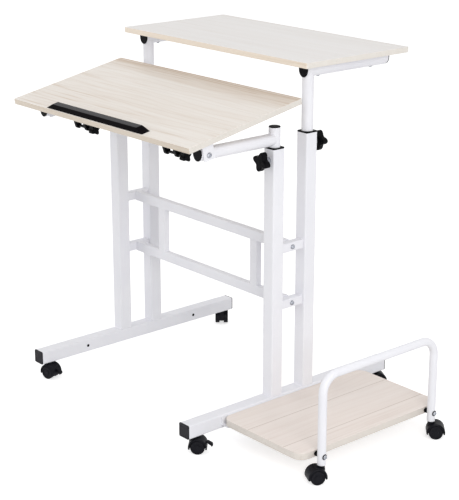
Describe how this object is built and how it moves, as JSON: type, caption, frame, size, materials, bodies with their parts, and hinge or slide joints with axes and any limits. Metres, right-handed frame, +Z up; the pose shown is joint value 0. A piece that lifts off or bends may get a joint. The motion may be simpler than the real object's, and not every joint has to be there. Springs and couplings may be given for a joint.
{
  "type": "mobile computer desk",
  "caption": "Rolling computer desk with a tilting desk board and a monitor shelf, each on height-adjustable posts, and a low case shelf with a hoop.",
  "frame": {"origin": "centre of the bounding box, on the floor", "axes": "+Z up, +X to the right of the person at the desk, +Y away from them"},
  "size_m": [1.1482, 0.7956, 1.0261],
  "materials": {
    "white_powder_coat": "white powder coat, satin",
    "maple_laminate": "pale maple laminate on board, matt, with a matching edge band",
    "black_plastic": "black moulded plastic",
    "wheel_tread": "black wheel tread",
    "zinc_plate": "zinc plate"
  },
  "bodies": {
    "frame": {"foot_left": "white_powder_coat", "foot_right": "white_powder_coat", "foot_cap_front_left": "black_plastic", "foot_cap_front_right": "black_plastic", "foot_cap_rear_left": "black_plastic", "foot_cap_rear_right": "black_plastic", "column_front_left": "white_powder_coat", "column_front_right": "white_powder_coat", "column_rear_left": "white_powder_coat", "column_rear_right": "white_powder_coat", "column_collar_front_left": "black_plastic", "column_collar_front_right": "black_plastic", "column_collar_rear_left": "black_plastic", "column_collar_rear_right": "black_plastic", "cross_frame": "white_powder_coat", "case_shelf": "maple_laminate", "case_hoop": "white_powder_coat"},
    "desk_carriage": {"front_post_left": "white_powder_coat", "front_post_right": "white_powder_coat", "post_cap_left": "black_plastic", "post_cap_right": "black_plastic", "desk_arm_left": "white_powder_coat", "desk_arm_right": "white_powder_coat", "arm_cap_left": "black_plastic", "arm_cap_right": "black_plastic", "pivot_rod": "zinc_plate"},
    "tilting_board": {"desk_board": "maple_laminate", "keyboard_stop": "black_plastic", "tilt_bracket_left": "white_powder_coat", "tilt_bracket_right": "white_powder_coat", "tilt_clamp_left": "black_plastic", "tilt_clamp_right": "black_plastic"},
    "monitor_carriage": {"monitor_shelf": "maple_laminate", "shelf_tube_left": "white_powder_coat", "shelf_tube_right": "white_powder_coat", "shelf_tube_cap_left": "black_plastic", "shelf_tube_cap_right": "black_plastic", "rear_post_left": "white_powder_coat", "rear_post_right": "white_powder_coat"},
    "tilt_knob_left": {"tilt_knob_left": "black_plastic"},
    "tilt_knob_right": {"tilt_knob_right": "black_plastic"},
    "height_knob_front_left": {"height_knob_front_left": "black_plastic"},
    "height_knob_front_right": {"height_knob_front_right": "black_plastic"},
    "height_knob_rear_left": {"height_knob_rear_left": "black_plastic"},
    "height_knob_rear_right": {"height_knob_rear_right": "black_plastic"},
    "castor_front_left": {"castor_hood_front_left": "black_plastic"},
    "wheels_front_left": {"castor_wheels_front_left": "wheel_tread"},
    "brake_front_left": {"brake_lever_front_left": "black_plastic"},
    "castor_front_right": {"castor_hood_front_right": "black_plastic"},
    "wheels_front_right": {"castor_wheels_front_right": "wheel_tread"},
    "brake_front_right": {"brake_lever_front_right": "black_plastic"},
    "castor_rear_left": {"castor_hood_rear_left": "black_plastic"},
    "wheels_rear_left": {"castor_wheels_rear_left": "wheel_tread"},
    "castor_rear_right": {"castor_hood_rear_right": "black_plastic"},
    "wheels_rear_right": {"castor_wheels_rear_right": "wheel_tread"},
    "castor_outer_front": {"castor_hood_outer_front": "black_plastic"},
    "wheels_outer_front": {"castor_wheels_outer_front": "wheel_tread"},
    "castor_outer_rear": {"castor_hood_outer_rear": "black_plastic"},
    "wheels_outer_rear": {"castor_wheels_outer_rear": "wheel_tread"}
  },
  "joints": [
    {"name": "desk_lift", "type": "slide", "parent": "frame", "child": "desk_carriage", "axis": [0, 0, 1], "range_m": [-0.002, 0.2]},
    {"name": "board_tilt", "type": "hinge", "parent": "desk_carriage", "child": "tilting_board", "pos_m": [-0.17409, -0.30618, 0.8223], "axis": [1, 0, 0], "range_deg": [-11, 24]},
    {"name": "monitor_lift", "type": "slide", "parent": "frame", "child": "monitor_carriage", "axis": [0, 0, 1], "range_m": [-0.12, 0.15]},
    {"name": "tilt_knob_left_turn", "type": "hinge", "parent": "tilting_board", "child": "tilt_knob_left", "pos_m": [-0.32479, -0.30188, 0.80021], "axis": [1, 0, 0], "continuous": true},
    {"name": "tilt_knob_right_turn", "type": "hinge", "parent": "tilting_board", "child": "tilt_knob_right", "pos_m": [0.08121, -0.30188, 0.80021], "axis": [1, 0, 0], "continuous": true},
    {"name": "height_knob_front_left_turn", "type": "hinge", "parent": "frame", "child": "height_knob_front_left", "pos_m": [-0.52409, -0.09578, 0.7686], "axis": [0, 1, 0], "continuous": true},
    {"name": "height_knob_front_right_turn", "type": "hinge", "parent": "frame", "child": "height_knob_front_right", "pos_m": [0.17591, -0.09578, 0.7686], "axis": [0, 1, 0], "continuous": true},
    {"name": "height_knob_rear_left_turn", "type": "hinge", "parent": "frame", "child": "height_knob_rear_left", "pos_m": [-0.52409, 0.08942, 0.7956], "axis": [0, -1, 0], "continuous": true},
    {"name": "height_knob_rear_right_turn", "type": "hinge", "parent": "frame", "child": "height_knob_rear_right", "pos_m": [0.17591, 0.08942, 0.7956], "axis": [0, -1, 0], "continuous": true},
    {"name": "castor_front_left_swivel", "type": "hinge", "parent": "frame", "child": "castor_front_left", "pos_m": [-0.52409, -0.35218, 0], "axis": [0, 0, 1], "continuous": true},
    {"name": "wheels_front_left_roll", "type": "hinge", "parent": "castor_front_left", "child": "wheels_front_left", "pos_m": [-0.51056, -0.34855, 0.02], "axis": [-0.2588, 0.9659, 0], "continuous": true},
    {"name": "brake_front_left_press", "type": "hinge", "parent": "castor_front_left", "child": "brake_front_left", "pos_m": [-0.48388, -0.3414, 0.03116], "axis": [-0.2588, 0.9659, 0], "range_deg": [0, 25]},
    {"name": "castor_front_right_swivel", "type": "hinge", "parent": "frame", "child": "castor_front_right", "pos_m": [0.17591, -0.35218, 0], "axis": [0, 0, 1], "continuous": true},
    {"name": "wheels_front_right_roll", "type": "hinge", "parent": "castor_front_right", "child": "wheels_front_right", "pos_m": [0.18564, -0.34211, 0.02], "axis": [-0.7193, 0.6947, 0], "continuous": true},
    {"name": "brake_front_right_press", "type": "hinge", "parent": "castor_front_right", "child": "brake_front_right", "pos_m": [0.20483, -0.32223, 0.03116], "axis": [-0.7193, 0.6947, 0], "range_deg": [0, 25]},
    {"name": "castor_rear_left_swivel", "type": "hinge", "parent": "frame", "child": "castor_rear_left", "pos_m": [-0.52409, 0.34582, 0], "axis": [0, 0, 1], "continuous": true},
    {"name": "wheels_rear_left_roll", "type": "hinge", "parent": "castor_rear_left", "child": "wheels_rear_left", "pos_m": [-0.53465, 0.35501, 0.02], "axis": [-0.6561, -0.7547, 0], "continuous": true},
    {"name": "castor_rear_right_swivel", "type": "hinge", "parent": "frame", "child": "castor_rear_right", "pos_m": [0.17591, 0.34582, 0], "axis": [0, 0, 1], "continuous": true},
    {"name": "wheels_rear_right_roll", "type": "hinge", "parent": "castor_rear_right", "child": "wheels_rear_right", "pos_m": [0.18291, 0.35795, 0.02], "axis": [-0.866, 0.5, 0], "continuous": true},
    {"name": "castor_outer_front_swivel", "type": "hinge", "parent": "frame", "child": "castor_outer_front", "pos_m": [0.53121, -0.21318, 0], "axis": [0, 0, 1], "continuous": true},
    {"name": "wheels_outer_front_roll", "type": "hinge", "parent": "castor_outer_front", "child": "wheels_outer_front", "pos_m": [0.52486, -0.22565, 0.02], "axis": [0.891, -0.454, 0], "continuous": true},
    {"name": "castor_outer_rear_swivel", "type": "hinge", "parent": "frame", "child": "castor_outer_rear", "pos_m": [0.53121, 0.20682, 0], "axis": [0, 0, 1], "continuous": true},
    {"name": "wheels_outer_rear_roll", "type": "hinge", "parent": "castor_outer_rear", "child": "wheels_outer_rear", "pos_m": [0.54094, 0.21689, 0.02], "axis": [-0.7193, 0.6947, 0], "continuous": true}
  ]
}
